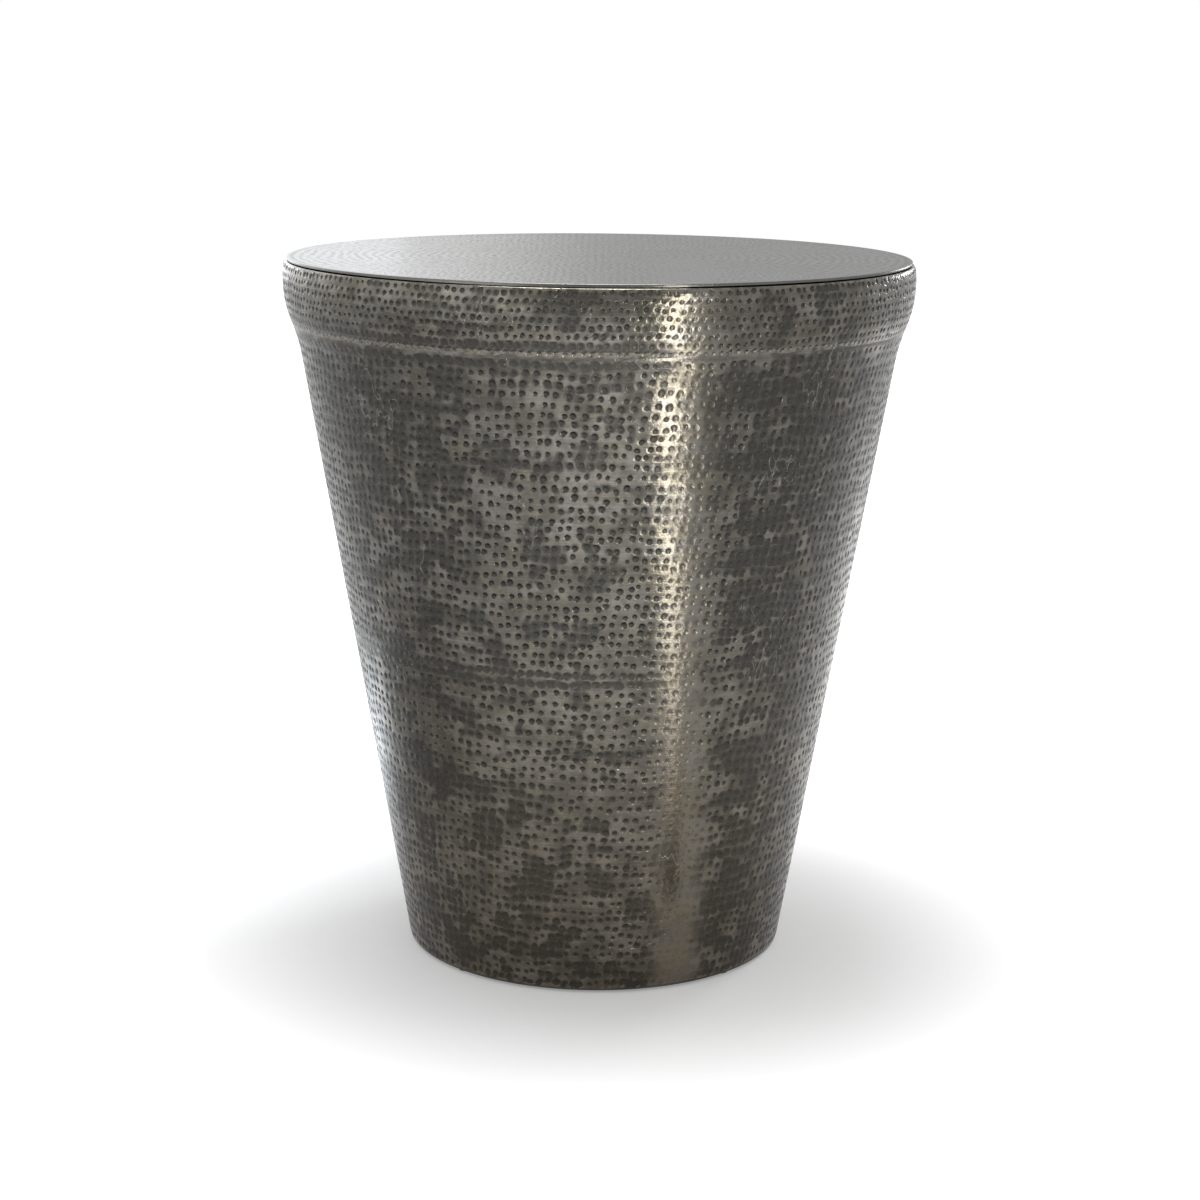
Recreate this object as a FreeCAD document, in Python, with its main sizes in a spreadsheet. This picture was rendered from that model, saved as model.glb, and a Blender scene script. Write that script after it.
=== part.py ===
import FreeCAD, Part
import math
import os
import Sketcher

# Drum side table in hammered sheet metal: a tapered drum with a rounded shoulder and a flat top.
# Millimetres, +Z up, the origin on the floor under the middle of the drum.

doc = FreeCAD.newDocument("drum_side_table")
sizes = doc.addObject("Spreadsheet::Sheet", "Sizes")

# Sizes that can be changed, each on its own
driving_sizes = [
    ("table_height", 559),
    ("plate_setback", 3.2),
    ("plate_thickness", 1.5),
    ("plate_edge_radius", 1),
    ("rim_gap", 1.2),
    ("sheet_thickness", 1),
    ("shoulder_diameter", 498.4),
    ("shoulder_drop", 18),
    ("shoulder_overhang", 3.85),
    ("shoulder_radius", 85),
    ("turn_radius", 140),
    ("rim_corner_radius", 3),
    ("rim_flange_width", 21),
    ("skirt_drop", 2.5),
    ("groove_width", 2),
    ("lap_length", 7),
    ("lap_clearance", 0.1),
    ("joint_height", 262),
    ("foot_diameter", 305.2),
    ("hem_width", 17),
    ("hem_corner_radius", 3),
    ("base_ring_width", 22),
    ("base_ring_thickness", 5),
    ("base_ring_clearance", 0.4),
    ("base_ring_edge_break", 0.5),
    ("board_thickness", 15),
    ("board_clearance", 1.4),
    ("board_edge_break", 1.5),
    ("clip_width", 22),
    ("clip_thickness", 2),
    ("clip_bend_radius", 1),
    ("clip_clearance", 0.3),
    ("clip_end_clearance", 2),
    ("clip_board_leg", 24),
    ("screw_diameter", 4),
    ("screw_tip_cover", 4),
    ("screw_tip_length", 3),
    ("screw_head_diameter", 8),
    ("screw_head_height", 2.4),
    ("screw_hole_clearance", 0.3),
    ("thread_clearance", 0.05),
    ("rivet_diameter", 4),
    ("rivet_head_diameter", 7),
    ("rivet_head_clearance", 0.3),
    ("rivet_tail_diameter", 6.4),
    ("rivet_tail_height", 1.6),
    ("rivet_clearance", 0.1),
    ("glide_head_diameter", 13),
    ("glide_head_height", 1.8),
    ("glide_edge_break", 0.6),
    ("glide_stem_diameter", 6),
    ("glide_stem_end", 0.5),
    ("glide_clearance", 0.1),
]

# Heights and radii that follow from them
# The outside of the drum is one line: straight wall, hollow turn, round shoulder, rim corner, flange.
derived_sizes = [
    ("plate_underside", "table_height - plate_thickness"),
    ("rim_height", "plate_underside - rim_gap"),
    ("flange_underside", "rim_height - sheet_thickness"),
    ("peak_height", "table_height - shoulder_drop"),
    ("hem_height", "glide_head_height"),
    ("hem_top", "hem_height + sheet_thickness"),
    ("foot_radius", "foot_diameter / 2"),
    ("wall_lean",
     "atan((shoulder_diameter / 2 - shoulder_overhang - foot_radius) / (peak_height - hem_height))"),
    ("joint_radius", "foot_radius + (joint_height - hem_height) * tan(wall_lean)"),
    ("shoulder_centre", "shoulder_diameter / 2 - shoulder_radius"),
    ("shoulder_side",
     "(shoulder_centre - foot_radius) * cos(wall_lean) - (peak_height - hem_height) * sin(wall_lean)"),
    ("shoulder_along",
     "(shoulder_centre - foot_radius) * sin(wall_lean) + (peak_height - hem_height) * cos(wall_lean)"),
    ("turn_along",
     "shoulder_along - sqrt((shoulder_radius + turn_radius)^2 - (turn_radius - shoulder_side)^2)"),
    ("turn_start_radius", "foot_radius + turn_along * sin(wall_lean)"),
    ("turn_start_height", "hem_height + turn_along * cos(wall_lean)"),
    ("turn_centre_radius", "turn_start_radius + turn_radius * cos(wall_lean)"),
    ("turn_centre_height", "turn_start_height - turn_radius * sin(wall_lean)"),
    ("turn_share", "turn_radius / (turn_radius + shoulder_radius)"),
    ("turn_end_radius", "turn_centre_radius + (shoulder_centre - turn_centre_radius) * turn_share"),
    ("turn_end_height", "turn_centre_height + (peak_height - turn_centre_height) * turn_share"),
    ("edge_height", "turn_end_height - skirt_drop"),
    ("edge_radius", "turn_centre_radius - sqrt(turn_radius^2 - (edge_height - turn_centre_height)^2)"),
    ("groove_height", "edge_height - groove_width"),
    ("groove_radius", "turn_centre_radius - sqrt(turn_radius^2 - (groove_height - turn_centre_height)^2)"),
    ("edge_rise", "(edge_height - turn_centre_height) / turn_radius"),
    ("edge_run", "(turn_centre_radius - edge_radius) / turn_radius"),
    ("lap_depth", "sheet_thickness + lap_clearance"),
    ("lap_radius", "edge_radius - lap_depth * edge_run"),
    ("lap_height", "edge_height + lap_depth * edge_rise"),
    ("lap_end_radius", "lap_radius + lap_length * edge_rise"),
    ("lap_end_height", "lap_height + lap_length * edge_run"),
    ("corner_centre_height", "rim_height - rim_corner_radius"),
    ("corner_reach", "shoulder_radius - rim_corner_radius"),
    ("corner_centre_radius",
     "shoulder_centre + sqrt(corner_reach^2 - (corner_centre_height - peak_height)^2)"),
    ("corner_start_radius",
     "shoulder_centre + (corner_centre_radius - shoulder_centre) * shoulder_radius / corner_reach"),
    ("corner_start_height",
     "peak_height + (corner_centre_height - peak_height) * shoulder_radius / corner_reach"),
    ("rim_opening_radius", "corner_centre_radius - rim_flange_width"),
    ("hem_centre_radius",
     "foot_radius + hem_corner_radius * tan(wall_lean) - hem_corner_radius / cos(wall_lean)"),
    ("hem_centre_height", "hem_height + hem_corner_radius"),
    ("hem_side_radius", "hem_centre_radius + hem_corner_radius * cos(wall_lean)"),
    ("hem_side_height", "hem_height + hem_corner_radius - hem_corner_radius * sin(wall_lean)"),
    ("hem_opening_radius", "foot_radius - hem_width"),
    ("base_ring_radius", "hem_centre_radius - base_ring_clearance"),
    ("base_ring_opening", "base_ring_radius - base_ring_width"),
    ("glide_circle", "(hem_centre_radius + hem_opening_radius) / 2"),
    ("glide_hole_radius", "glide_stem_diameter / 2 + glide_clearance"),
    ("glide_stem_length", "sheet_thickness + base_ring_thickness + glide_stem_end"),
    ("board_underside", "plate_underside - board_thickness"),
    ("clip_web_outside", "sqrt(rim_opening_radius^2 - (clip_width / 2)^2) - clip_clearance"),
    ("clip_web_inside", "clip_web_outside - clip_thickness"),
    ("board_radius", "clip_web_inside - board_clearance"),
    ("clip_outer_bend", "clip_bend_radius + clip_thickness"),
    ("clip_rim_end", "corner_centre_radius - clip_end_clearance"),
    ("clip_board_end", "clip_web_inside - clip_board_leg"),
    ("clip_underside", "board_underside - clip_thickness"),
    ("clip_bend_across", "clip_web_inside + clip_outer_bend"),
    ("clip_bend_height", "flange_underside - clip_outer_bend"),
    ("clip_foot_across", "clip_web_inside - clip_bend_radius"),
    ("clip_foot_height", "board_underside + clip_bend_radius"),
    ("clip_rivet_floor", "flange_underside - clip_thickness"),
    ("rivet_circle", "(clip_web_outside + clip_rim_end) / 2"),
    ("rivet_hole_radius", "rivet_diameter / 2 + rivet_clearance"),
    ("rivet_grip", "sheet_thickness + clip_thickness"),
    ("screw_circle", "clip_web_inside - clip_board_leg / 2"),
    ("screw_grip", "board_thickness - screw_tip_cover"),
    ("screw_hole_radius", "screw_diameter / 2 + screw_hole_clearance"),
    ("pilot_hole_radius", "screw_diameter / 2 + thread_clearance"),
    ("pilot_hole_depth", "screw_grip + screw_hole_clearance"),
    ("screw_length", "clip_thickness + screw_grip"),
    ("screw_shoulder", "screw_length - screw_tip_length"),
    ("screw_radius", "screw_diameter / 2"),
    ("screw_head_radius", "screw_head_diameter / 2"),
    ("screw_head_floor", "-screw_head_height"),
    ("rivet_radius", "rivet_diameter / 2"),
    ("rivet_head_height", "rim_gap - rivet_head_clearance"),
    ("rivet_head_radius", "rivet_head_diameter / 2"),
    ("rivet_tail_radius", "rivet_tail_diameter / 2"),
    ("rivet_shank_floor", "-rivet_grip"),
    ("rivet_tail_floor", "rivet_shank_floor - rivet_tail_height"),
    ("glide_head_radius", "glide_head_diameter / 2"),
    ("glide_face_radius", "glide_head_radius - glide_edge_break"),
    ("glide_stem_radius", "glide_stem_diameter / 2"),
    ("glide_top", "glide_head_height + glide_stem_length"),
    ("plate_radius", "shoulder_diameter / 2 - plate_setback"),
]

for row, (name, entry) in enumerate(driving_sizes + derived_sizes, start=1):
    cell = "B" + str(row)
    sizes.set("A" + str(row), name.replace("_", " "))
    sizes.set(cell, str(entry) if not isinstance(entry, str) else "=" + entry)
    sizes.setAlias(cell, name)
doc.recompute()

clip_count = 4
glide_count = 4
first_clip_angle = 45
first_glide_angle = 45


def bound(name):
    """The expression that reads one size from the sheet."""
    return "Sizes." + name


def size(name):
    """The present value of one size; no name stands for nought."""
    return float(sizes.get(name)) if name else 0.0


def point(across, up):
    """A sketch point at two named sizes."""
    return FreeCAD.Vector(size(across), size(up), 0)


def bind(sketch, constraint, name):
    """Add a constraint and tie its value to a size."""
    index = sketch.addConstraint(constraint)
    if name:
        sketch.setExpression("Constraints[" + str(index) + "]", bound(name))


def fix_point(sketch, geometry, end, across, up):
    """Tie one point of a line, arc or circle to two sizes."""
    bind(sketch, Sketcher.Constraint("DistanceX", -1, 1, geometry, end, size(across)), across)
    bind(sketch, Sketcher.Constraint("DistanceY", -1, 1, geometry, end, size(up)), up)


def add_step(sketch, step, start, finish):
    """Draw one line or arc and say which of its ends is which."""
    if len(step) == 2:
        geometry = sketch.addGeometry(Part.LineSegment(start, finish), False)
        return geometry, 1, 2
    radius = size(step[2])
    centre = point(step[3], step[4])
    outward = (start + finish) / 2 - centre
    outward.normalize()
    geometry = sketch.addGeometry(Part.Arc(start, centre + outward * radius, finish), False)
    bind(sketch, Sketcher.Constraint("Radius", geometry, radius), step[2])
    first_end = sketch.getPoint(geometry, 1)
    if first_end.distanceToPoint(start) < first_end.distanceToPoint(finish):
        return geometry, 1, 2
    return geometry, 2, 1


def draw_path(sketch, steps, closed=False):
    """Draw lines and arcs from point to point, all of them named sizes.

    A step is (across, up) for a line to that point, or (across, up, radius, centre across, centre up)
    for an arc; the centre only says which way the arc bends. A closed path ends on its first point.
    """
    first = None
    last = None
    path = steps + steps[:1] if closed else steps
    for before, step in zip(path, path[1:]):
        geometry, near, far = add_step(sketch, step, point(*before[:2]), point(*step[:2]))
        if last is None:
            first = (geometry, near)
            fix_point(sketch, geometry, near, *before[:2])
        else:
            sketch.addConstraint(Sketcher.Constraint("Coincident", *last, geometry, near))
        last = (geometry, far)
        if step is not path[0]:
            fix_point(sketch, geometry, far, *step[:2])
    if closed:
        sketch.addConstraint(Sketcher.Constraint("Coincident", *last, *first))


def sheet_section(name, steps, thickness):
    """The cut face of bent sheet: the line of its outer side, thickened."""
    line = doc.addObject("Sketcher::SketchObject", name + "_line")
    line.Placement = FreeCAD.Placement(FreeCAD.Vector(), FreeCAD.Rotation(FreeCAD.Vector(1, 0, 0), 90))
    draw_path(line, steps)
    doc.recompute()
    face = doc.addObject("Part::Offset2D", name + "_section")
    face.Source = line
    face.Mode = "Skin"
    face.Join = "Intersection"
    face.Fill = True
    face.setExpression("Value", bound(thickness))
    doc.recompute()
    return face


def turned_sheet(name, steps):
    """Sheet turned about the upright axis of the drum."""
    turned = doc.addObject("Part::Revolution", name)
    turned.Source = sheet_section(name, steps, "sheet_thickness")
    turned.Axis = FreeCAD.Vector(0, 0, 1)
    turned.Base = FreeCAD.Vector(0, 0, 0)
    turned.Angle = 360
    turned.Solid = True
    return turned


def stand(item, angle, circle=None, height=None):
    """Turn an object about the upright axis and stand it on a circle at a height."""
    item.Placement = FreeCAD.Placement(FreeCAD.Vector(), FreeCAD.Rotation(FreeCAD.Vector(0, 0, 1), angle))
    if circle:
        item.setExpression(".Placement.Base.x", bound(circle) + " * cos(" + str(angle) + ")")
        item.setExpression(".Placement.Base.y", bound(circle) + " * sin(" + str(angle) + ")")
    if height:
        item.setExpression(".Placement.Base.z", bound(height))


def drilled(name, base, radius, depth, circle, height, angles):
    """Cut round holes that start at a height, one at each angle on a circle."""
    drills = doc.addObject("Part::Compound", name + "_drills")
    holes = []
    for number, angle in enumerate(angles, start=1):
        hole = doc.addObject("Part::Cylinder", name + "_drill_" + str(number))
        hole.setExpression("Radius", bound(radius))
        hole.setExpression("Height", bound(depth))
        stand(hole, angle, circle, height)
        holes.append(hole)
    drills.Links = holes
    cut = doc.addObject("Part::Cut", name)
    cut.Base = base
    cut.Tool = drills
    return cut


def origin_feature(body, role):
    """One of a body's own origin planes or axes."""
    return [item for item in body.Origin.OriginFeatures if item.Role == role][0]


def body_sketch(body, name, plane, lift=None):
    """A sketch on one of a body's origin planes, lifted to a named height."""
    sketch = body.newObject("Sketcher::SketchObject", name)
    sketch.AttachmentSupport = (origin_feature(body, plane), "")
    sketch.MapMode = "FlatFace"
    if lift:
        sketch.setExpression(".AttachmentOffset.Base.z", bound(lift))
    return sketch


def add_circle(sketch, radius, across=None):
    """A circle centred on the sketch's level axis."""
    outline = Part.Circle(point(across, None), FreeCAD.Vector(0, 0, 1), size(radius))
    circle = sketch.addGeometry(outline, False)
    bind(sketch, Sketcher.Constraint("Radius", circle, size(radius)), radius)
    fix_point(sketch, circle, 3, across, None)


def disc_body(name, radii, floor, thickness):
    """A flat disc, or a ring when it has two radii, padded up from a height."""
    body = doc.addObject("PartDesign::Body", name)
    sketch = body_sketch(body, name + "_outline", "XY_Plane", floor)
    for radius in radii:
        add_circle(sketch, radius)
    pad = body.newObject("PartDesign::Pad", name + "_pad")
    pad.Profile = sketch
    pad.setExpression("Length", bound(thickness))
    doc.recompute()
    return body


def break_edges(body, kind, name, width, height, radius):
    """Round or chamfer the round edges of a body at one height and radius."""
    edges = []
    for number, edge in enumerate(body.Shape.Edges, start=1):
        middle = edge.BoundBox.Center
        if abs(edge.BoundBox.XLength / 2 - size(radius)) < 0.01 and abs(middle.z - height) < 0.01:
            edges.append("Edge" + str(number))
    if not edges:
        raise RuntimeError(name + " finds no edge")
    tip = body.Tip
    feature = body.newObject(kind, name)
    feature.Base = (tip, edges)
    feature.setExpression("Radius" if kind == "PartDesign::Fillet" else "Size", bound(width))
    doc.recompute()


def add_holes(body, name, radius, circle, floor, depth, count):
    """Pocket a round hole upwards from a height and repeat it round the upright axis."""
    sketch = body_sketch(body, name + "_outline", "XY_Plane", floor)
    add_circle(sketch, radius, circle)
    doc.recompute()
    before = body.Shape.Volume
    pocket = body.newObject("PartDesign::Pocket", name)
    pocket.Profile = sketch
    pocket.Reversed = True
    pocket.setExpression("Length", bound(depth))
    pattern = body.newObject("PartDesign::PolarPattern", name + "_ring")
    pattern.Originals = [pocket]
    pattern.Axis = (origin_feature(body, "Z_Axis"), [""])
    pattern.Angle = 360
    pattern.Occurrences = count
    body.Tip = pattern
    doc.recompute()
    removed = before - body.Shape.Volume
    expected = count * math.pi * size(radius) ** 2 * size(depth)
    if abs(removed - expected) > 0.02 * expected:
        raise RuntimeError(name + " removes " + str(removed) + " instead of " + str(expected))


def turned_body(name, steps):
    """A small turned piece: half its outline revolved about its own axis."""
    body = doc.addObject("PartDesign::Body", name)
    sketch = body_sketch(body, name + "_outline", "XZ_Plane")
    draw_path(sketch, steps, closed=True)
    doc.recompute()
    turned = body.newObject("PartDesign::Revolution", name + "_turned")
    turned.Profile = sketch
    turned.ReferenceAxis = (sketch, ["V_Axis"])
    turned.Angle = 360
    doc.recompute()
    return body


clip_angles = [first_clip_angle + 360 * number / clip_count for number in range(clip_count)]
glide_angles = [first_glide_angle + 360 * number / glide_count for number in range(glide_count)]
nodes = []


def keep(item, label):
    """Name an object as one of the table's pieces."""
    item.Label = label
    nodes.append(item)


# Top plate: a flat disc of hammered sheet with a rounded upper edge.
top_plate = disc_body("top_plate", ["plate_radius"], "plate_underside", "plate_thickness")
break_edges(top_plate, "PartDesign::Fillet", "plate_edge", "plate_edge_radius",
            size("table_height"), "plate_radius")
keep(top_plate, "top_plate")

# Top board: a round board bonded under the plate, drilled for the clips' screws.
top_board = disc_body("top_board", ["board_radius"], "board_underside", "board_thickness")
break_edges(top_board, "PartDesign::Chamfer", "board_edge", "board_edge_break",
            size("board_underside"), "board_radius")
add_holes(top_board, "pilot_holes", "pilot_hole_radius", "screw_circle",
          "board_underside", "pilot_hole_depth", clip_count)
stand(top_board, first_clip_angle)
keep(top_board, "top_board")

# Shoulder ring: spun sheet that flares out, rounds over the shoulder and turns in as a rim flange.
# Its lower edge laps over the collar of the cone below.
shoulder_sheet = turned_sheet("shoulder_sheet", [
    ("edge_radius", "edge_height"),
    ("turn_end_radius", "turn_end_height", "turn_radius", "turn_centre_radius", "turn_centre_height"),
    ("corner_start_radius", "corner_start_height", "shoulder_radius", "shoulder_centre", "peak_height"),
    ("corner_centre_radius", "rim_height",
     "rim_corner_radius", "corner_centre_radius", "corner_centre_height"),
    ("rim_opening_radius", "rim_height"),
])
shoulder_ring = drilled("shoulder_ring", shoulder_sheet, "rivet_hole_radius", "sheet_thickness",
                        "rivet_circle", "flange_underside", clip_angles)
keep(shoulder_ring, "shoulder_ring")

# Upper cone: rolled sheet whose top turns out as a collar, then steps in by its own thickness.
# The stepped lap stands behind the ring's lower edge, so that the two run flush with a groove between.
upper_cone = turned_sheet("upper_cone", [
    ("joint_radius", "joint_height"),
    ("turn_start_radius", "turn_start_height"),
    ("groove_radius", "groove_height", "turn_radius", "turn_centre_radius", "turn_centre_height"),
    ("lap_radius", "lap_height"),
    ("lap_end_radius", "lap_end_height"),
])
keep(upper_cone, "upper_cone")

# Lower cone: rolled sheet, welded edge to edge under the upper cone, its foot turned in as a hem.
lower_sheet = turned_sheet("lower_sheet", [
    ("hem_opening_radius", "hem_height"),
    ("hem_centre_radius", "hem_height"),
    ("hem_side_radius", "hem_side_height", "hem_corner_radius", "hem_centre_radius", "hem_centre_height"),
    ("joint_radius", "joint_height"),
])
lower_cone = drilled("lower_cone", lower_sheet, "glide_hole_radius", "sheet_thickness",
                     "glide_circle", "hem_height", glide_angles)
keep(lower_cone, "lower_cone")

# Base ring: a flat ring that lies on the hem inside the drum, drilled for the glides.
base_ring = disc_body("base_ring", ["base_ring_radius", "base_ring_opening"],
                      "hem_top", "base_ring_thickness")
break_edges(base_ring, "PartDesign::Chamfer", "base_ring_inner_edge", "base_ring_edge_break",
            size("hem_top") + size("base_ring_thickness"), "base_ring_opening")
add_holes(base_ring, "glide_holes", "glide_hole_radius", "glide_circle",
          "hem_top", "base_ring_thickness", glide_count)
stand(base_ring, first_glide_angle)
keep(base_ring, "base_ring")

# Top clips: bent strip, one leg riveted under the rim flange, the other under the board.
for number, angle in enumerate(clip_angles, start=1):
    name = "top_clip_" + str(number)
    strip = doc.addObject("Part::Extrusion", name + "_strip")
    strip.Base = sheet_section(name, [
        ("clip_rim_end", "flange_underside"),
        ("clip_bend_across", "flange_underside"),
        ("clip_web_inside", "clip_bend_height", "clip_outer_bend", "clip_bend_across", "clip_bend_height"),
        ("clip_web_inside", "clip_foot_height"),
        ("clip_foot_across", "board_underside", "clip_bend_radius", "clip_foot_across", "clip_foot_height"),
        ("clip_board_end", "board_underside"),
    ], "clip_thickness")
    strip.DirMode = "Custom"
    strip.Dir = FreeCAD.Vector(0, 1, 0)
    strip.setExpression("LengthFwd", bound("clip_width"))
    strip.Symmetric = True
    strip.Solid = True
    riveted = drilled(name + "_riveted", strip, "rivet_hole_radius", "clip_thickness",
                      "rivet_circle", "clip_rivet_floor", [0])
    clip = drilled(name, riveted, "screw_hole_radius", "clip_thickness",
                   "screw_circle", "clip_underside", [0])
    stand(clip, angle)
    keep(clip, name)

# Clip screws: pan-head wood screws, up through the clips into the board.
screws = []
for number, angle in enumerate(clip_angles, start=1):
    screw = turned_body("screw_" + str(number), [
        (None, "screw_head_floor"),
        ("screw_head_radius", "screw_head_floor"),
        ("screw_head_radius", None),
        ("screw_radius", None),
        ("screw_radius", "screw_shoulder"),
        (None, "screw_length"),
    ])
    stand(screw, angle, "screw_circle", "clip_underside")
    screws.append(screw)
clip_screws = doc.addObject("Part::Compound", "clip_screws")
clip_screws.Links = screws
keep(clip_screws, "clip_screws")

# Clip rivets: flat heads in the gap under the plate, tails set under the clips.
rivets = []
for number, angle in enumerate(clip_angles, start=1):
    rivet = turned_body("rivet_" + str(number), [
        (None, "rivet_tail_floor"),
        ("rivet_tail_radius", "rivet_tail_floor"),
        ("rivet_tail_radius", "rivet_shank_floor"),
        ("rivet_radius", "rivet_shank_floor"),
        ("rivet_radius", None),
        ("rivet_head_radius", None),
        ("rivet_head_radius", "rivet_head_height"),
        (None, "rivet_head_height"),
    ])
    stand(rivet, angle, "rivet_circle", "rim_height")
    rivets.append(rivet)
clip_rivets = doc.addObject("Part::Compound", "clip_rivets")
clip_rivets.Links = rivets
keep(clip_rivets, "clip_rivets")

# Glides: round nylon heads that the table stands on, stems pushed up through the hem and the base ring.
for number, angle in enumerate(glide_angles, start=1):
    name = "glide_" + str(number)
    glide = turned_body(name, [
        (None, None),
        ("glide_face_radius", None),
        ("glide_head_radius", "glide_edge_break"),
        ("glide_head_radius", "glide_head_height"),
        ("glide_stem_radius", "glide_head_height"),
        ("glide_stem_radius", "glide_top"),
        (None, "glide_top"),
    ])
    stand(glide, angle, "glide_circle")
    keep(glide, name)

doc.recompute()

# Every object is sound before the pieces are written
for item in doc.Objects:
    if "Invalid" in item.State or "Error" in item.State:
        raise RuntimeError(item.Label + " did not build")
for item in nodes:
    if item.Shape.isNull() or not item.Shape.isValid():
        raise RuntimeError(item.Label + " has no valid shape")

os.makedirs("parts", exist_ok=True)
for item in nodes:
    item.Shape.exportStep("parts/" + item.Label + ".step")
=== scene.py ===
import math
import bmesh
import bpy
from mathutils import Euler, Matrix, Vector


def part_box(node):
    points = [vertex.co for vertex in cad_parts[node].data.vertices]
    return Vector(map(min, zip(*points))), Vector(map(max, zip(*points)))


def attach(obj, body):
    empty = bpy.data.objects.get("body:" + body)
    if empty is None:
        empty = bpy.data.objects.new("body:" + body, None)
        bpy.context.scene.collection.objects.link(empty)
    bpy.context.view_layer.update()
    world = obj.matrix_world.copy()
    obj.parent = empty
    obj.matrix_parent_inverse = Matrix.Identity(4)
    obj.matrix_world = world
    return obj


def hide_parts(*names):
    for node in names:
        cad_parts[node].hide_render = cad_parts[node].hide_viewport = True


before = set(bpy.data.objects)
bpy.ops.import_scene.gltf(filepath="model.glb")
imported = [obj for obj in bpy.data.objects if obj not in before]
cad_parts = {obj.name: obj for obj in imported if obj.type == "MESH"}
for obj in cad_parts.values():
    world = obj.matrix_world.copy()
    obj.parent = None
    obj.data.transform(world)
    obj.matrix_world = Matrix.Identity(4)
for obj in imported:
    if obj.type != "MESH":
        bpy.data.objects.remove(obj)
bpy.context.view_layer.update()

# Lower cone
# Rolled steel sheet, struck all over with a ball hammer in level courses and aged to a pewter tone.
# It is welded edge to edge under the upper cone, and its foot is turned in as a hem.
sheet = 0.001
hem_height = 0.0018
foot_radius = 0.1526
wall_lean = math.radians(9.76)
joint_height = 0.262
hem_inner_radius = 0.1356
hem_corner = 0.003


class Value:
    """One socket of a node tree; arithmetic on it adds Math nodes to that tree."""

    def __init__(self, tree, socket=None):
        self.tree = tree
        self.socket = socket

    @staticmethod
    def find(sockets, key):
        """A socket by its number, its identifier or its name."""
        for socket in sockets:
            if socket.identifier == key:
                return socket
        return sockets[key]

    def feed(self, made, values):
        """Set or link sockets of a node."""
        for key, value in values.items():
            target = self.find(made.inputs, key)
            if isinstance(value, Value):
                self.tree.links.new(value.socket, target)
            else:
                target.default_value = value

    def node(self, kind, settings=None, sockets=None, output=0):
        """Add any node: its settings first, then the values or links of its sockets."""
        made = self.tree.nodes.new(kind)
        for name, setting in (settings or {}).items():
            setattr(made, name, setting)
        self.feed(made, sockets or {})
        return Value(self.tree, self.find(made.outputs, output))

    def out(self, key):
        """Another output of the node that this socket belongs to."""
        return Value(self.tree, self.find(self.socket.node.outputs, key))

    def math(self, operation, *terms):
        return self.node("ShaderNodeMath", {"operation": operation}, dict(enumerate(terms)))

    def __add__(self, other):
        return self.math("ADD", self, other)

    def __sub__(self, other):
        return self.math("SUBTRACT", self, other)

    def __rsub__(self, other):
        return self.math("SUBTRACT", other, self)

    def __mul__(self, other):
        return self.math("MULTIPLY", self, other)

    def __truediv__(self, other):
        return self.math("DIVIDE", self, other)

    def __rtruediv__(self, other):
        return self.math("DIVIDE", other, self)

    __radd__ = __add__
    __rmul__ = __mul__

    def least(self, other):
        return self.math("MINIMUM", self, other)

    def most(self, other):
        return self.math("MAXIMUM", self, other)

    def step(self, low, high):
        """A smooth step from 0 at low to 1 at high."""
        return self.node("ShaderNodeMapRange", {"interpolation_type": "SMOOTHSTEP"},
                         {"Value": self, "From Min": low, "From Max": high})

    def parts(self):
        """The three numbers of a vector."""
        split = self.node("ShaderNodeSeparateXYZ", sockets={0: self})
        return split, split.out(1), split.out(2)

    def join(self, across, along, up):
        return self.node("ShaderNodeCombineXYZ", sockets={0: across, 1: along, 2: up})

    def noise(self, scale, detail, stretch=(1, 1, 1)):
        """Noise at this place, finer along an axis that is stretched more."""
        where = self.node("ShaderNodeVectorMath", {"operation": "MULTIPLY"}, {0: self, 1: stretch})
        return self.node("ShaderNodeTexNoise", sockets={"Vector": where, "Scale": scale, "Detail": detail})

    def blend(self, first, second):
        """A colour between two colours, by this share of the second."""
        return self.node("ShaderNodeMix", {"data_type": "RGBA"},
                         {"Factor_Float": self, "A_Color": first, "B_Color": second}, "Result_Color")

    def size(self):
        return self.math("ABSOLUTE", self)

    def cosine(self):
        return self.math("COSINE", self)

    def sine(self):
        return self.math("SINE", self)


def run_together(spot):
    """How far the marks run together at a place, from 0 to 1. The sheets and their metal both ask it.

    They do so in blots, dabs and level bands, and more on the front's two flanks and under the shoulder.
    """
    east, north, height = spot.parts()
    blots = spot.noise(32.0, 2.0)
    dabs = spot.noise(72.0, 1.0, (0.9, 0.9, 1))
    bands = spot.noise(7.0, 2.0, (1, 1, 9))
    off_middle = east + 0.02
    front = (0.0 - north).step(0.0, 0.12)
    below_shoulder = 1 - height.step(0.49, 0.52)
    heavy = off_middle * off_middle * front * 6.0 + height.step(0.35, 0.47) * 0.06
    blots = blots + heavy * below_shoulder - height.step(0.05, 0.25) * 0.065
    return (blots * 0.46 + dabs * 0.36 + bands * 0.18).step(0.43, 0.59)


def rubbed_band_and_highlight(spot):
    """How far the marks are rubbed down along a band at the front, from 0 to 1. The band lies under the
    bright line that the floor strip draws down the drum: partly rubbing, partly painted highlight.
    """
    band_east = 0.064
    band_core = 0.006
    band_edge = 0.032
    east, north, height = spot.parts()
    drift = (spot.noise(26.0, 4.0, (1, 1, 2.1)) - 0.5) * 0.03
    band = 1 - (east - band_east + drift).size().step(band_core, band_edge)
    front = (0.0 - north).step(0.0, 0.05)
    return band * front * (0.9 - height.step(0.12, 0.4) * 0.25)


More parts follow.
